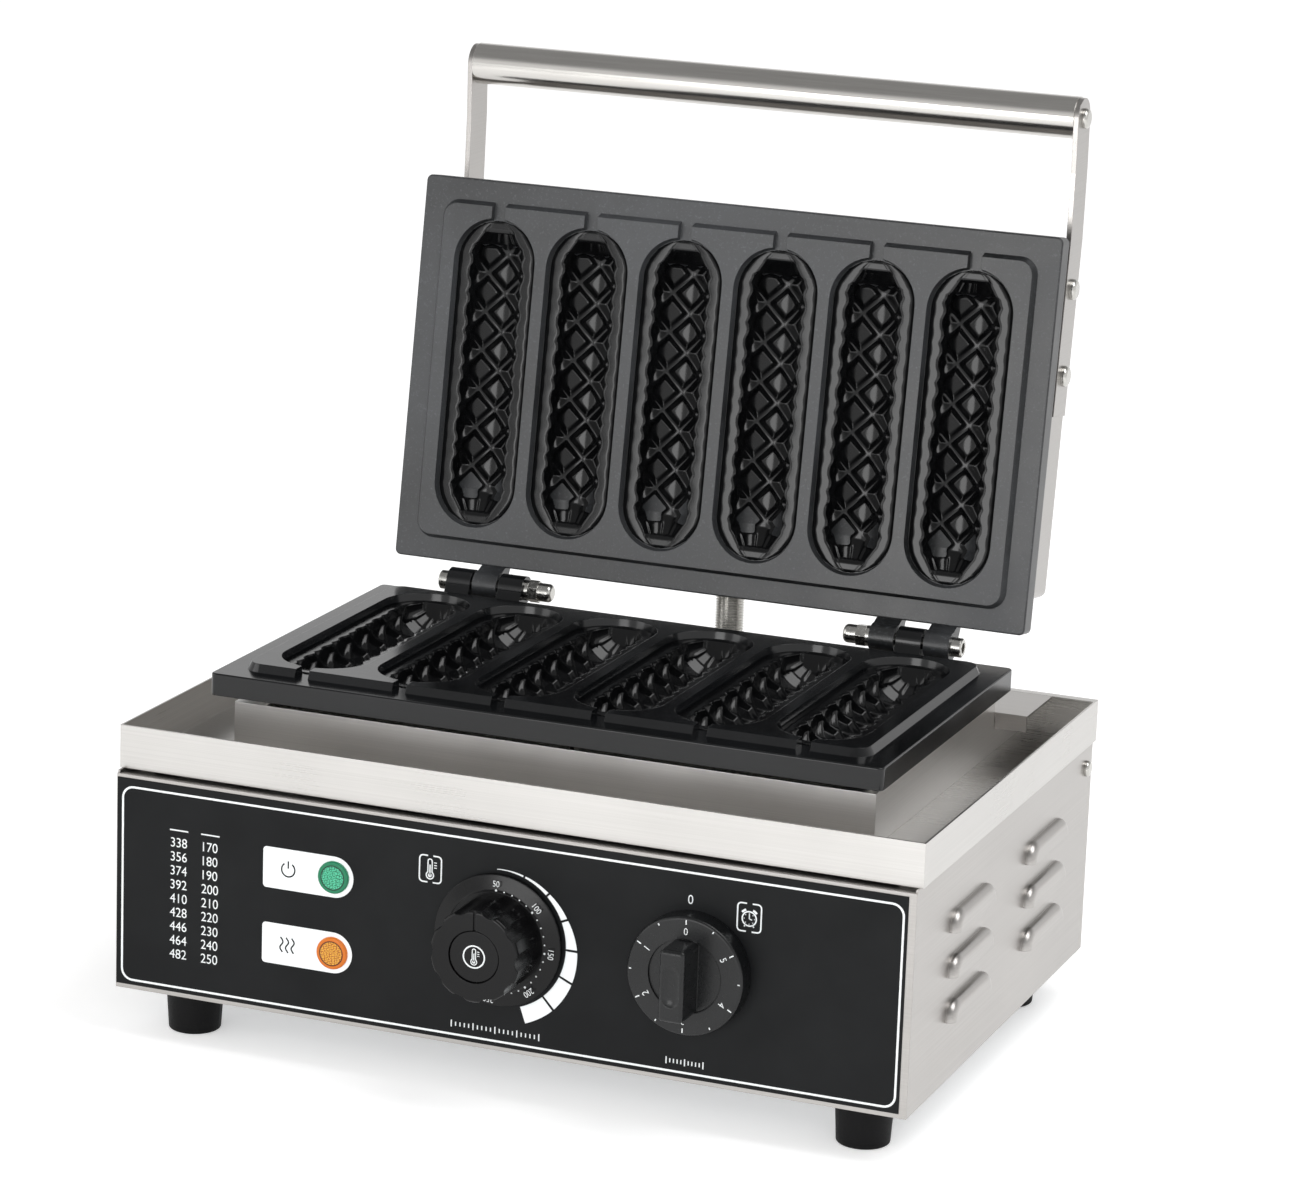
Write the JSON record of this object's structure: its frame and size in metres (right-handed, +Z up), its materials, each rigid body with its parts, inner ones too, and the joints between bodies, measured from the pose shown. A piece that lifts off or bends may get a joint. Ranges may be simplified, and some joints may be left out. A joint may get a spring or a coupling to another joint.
{
  "type": "corn dog maker",
  "caption": "Countertop press that bakes batter round sausages on sticks: stainless box with dials, drip tray, and hinged lid with matching non-stick moulds and a bar handle.",
  "frame": {"origin": "on the surface it stands on, under the middle of the whole machine with its lid open", "axes": "+Z up, +Y towards the hinge side, the control panel faces -Y, +X to the user's right"},
  "size_m": [0.4062, 0.3646, 0.4415],
  "materials": {
    "satin_stainless": "satin brushed sheet",
    "polished_stainless": "polished tube",
    "plated_steel": "bright plated",
    "galvanised_sheet": "galvanised",
    "nonstick_aluminium": "black non-stick coating, fine grain",
    "heater_sheath": "oxidised dull",
    "ceramic_wool": "matt fibre",
    "black_film": "matt printed film",
    "black_plastic": "satin moulded",
    "dark_insert": "semi-gloss",
    "cream_plastic": "moulded",
    "brass_screws": "machined",
    "black_rubber": "matt",
    "green_lens": "pebbled translucent",
    "amber_lens": "pebbled translucent"
  },
  "bodies": {
    "base": {"body_shell": "satin_stainless", "front_panel": "satin_stainless", "control_overlay": "black_film", "bottom_plate": "galvanised_sheet", "feet": "black_rubber", "foot_screws": "plated_steel", "foot_nuts": "plated_steel", "side_screws": "plated_steel", "top_tray": "satin_stainless", "pedestal": "satin_stainless", "rear_deck": "satin_stainless", "plate_spacers": "plated_steel", "plate_bolts": "plated_steel", "heat_shield": "galvanised_sheet", "lower_insulation": "ceramic_wool", "lower_casting": "nonstick_aluminium", "lower_heating_element": "heater_sheath", "hinge_bolt_left": "plated_steel", "hinge_washer_left": "plated_steel", "hinge_nuts_left": "plated_steel", "wire_conduit": "plated_steel", "conduit_lower_ferrule": "plated_steel", "conduit_lower_nut": "plated_steel", "thermostat_body": "cream_plastic", "thermostat_bulb": "heater_sheath", "timer_body": "cream_plastic", "control_screws": "plated_steel", "power_lamp_lens": "green_lens", "heat_lamp_lens": "amber_lens", "lamp_bodies": "black_plastic", "lamp_nuts": "plated_steel", "terminal_block": "cream_plastic", "terminal_screws": "brass_screws", "cord_inlet": "black_plastic", "inlet_nut": "black_plastic"},
    "lid": {"upper_casting": "nonstick_aluminium", "upper_heating_element": "heater_sheath", "hinge_bolt_right": "plated_steel", "hinge_washer_right": "plated_steel", "hinge_nuts_right": "plated_steel", "lid_hood": "satin_stainless", "hood_standoffs": "plated_steel", "hood_screws": "plated_steel", "upper_insulation": "ceramic_wool", "handle_arm_left": "satin_stainless", "handle_arm_right": "satin_stainless", "handle_tube": "polished_stainless", "handle_plugs": "polished_stainless", "handle_end_screws": "plated_steel", "arm_screws": "plated_steel", "arm_nuts": "plated_steel", "conduit_upper_ferrule": "plated_steel", "conduit_upper_nut": "plated_steel"},
    "temperature_control": {"thermostat_shaft": "plated_steel", "temperature_dial": "black_plastic", "temperature_knob": "black_plastic", "temperature_cap": "dark_insert"},
    "timer_control": {"timer_shaft": "plated_steel", "timer_knob": "black_plastic"}
  },
  "joints": [
    {"name": "lid_hinge", "type": "hinge", "parent": "base", "child": "lid", "pos_m": [0, 0.08655, 0.1784], "axis": [1, 0, 0], "range_deg": [0, 98.9], "deforming": ["wire_conduit"]},
    {"name": "temperature_turn", "type": "hinge", "parent": "base", "child": "temperature_control", "pos_m": [-0.001, -0.15355, 0.0785], "axis": [0, 1, 0], "range_deg": [0, 280]},
    {"name": "timer_turn", "type": "hinge", "parent": "base", "child": "timer_control", "pos_m": [0.0942, -0.15355, 0.0785], "axis": [0, 1, 0], "range_deg": [0, 300]}
  ]
}
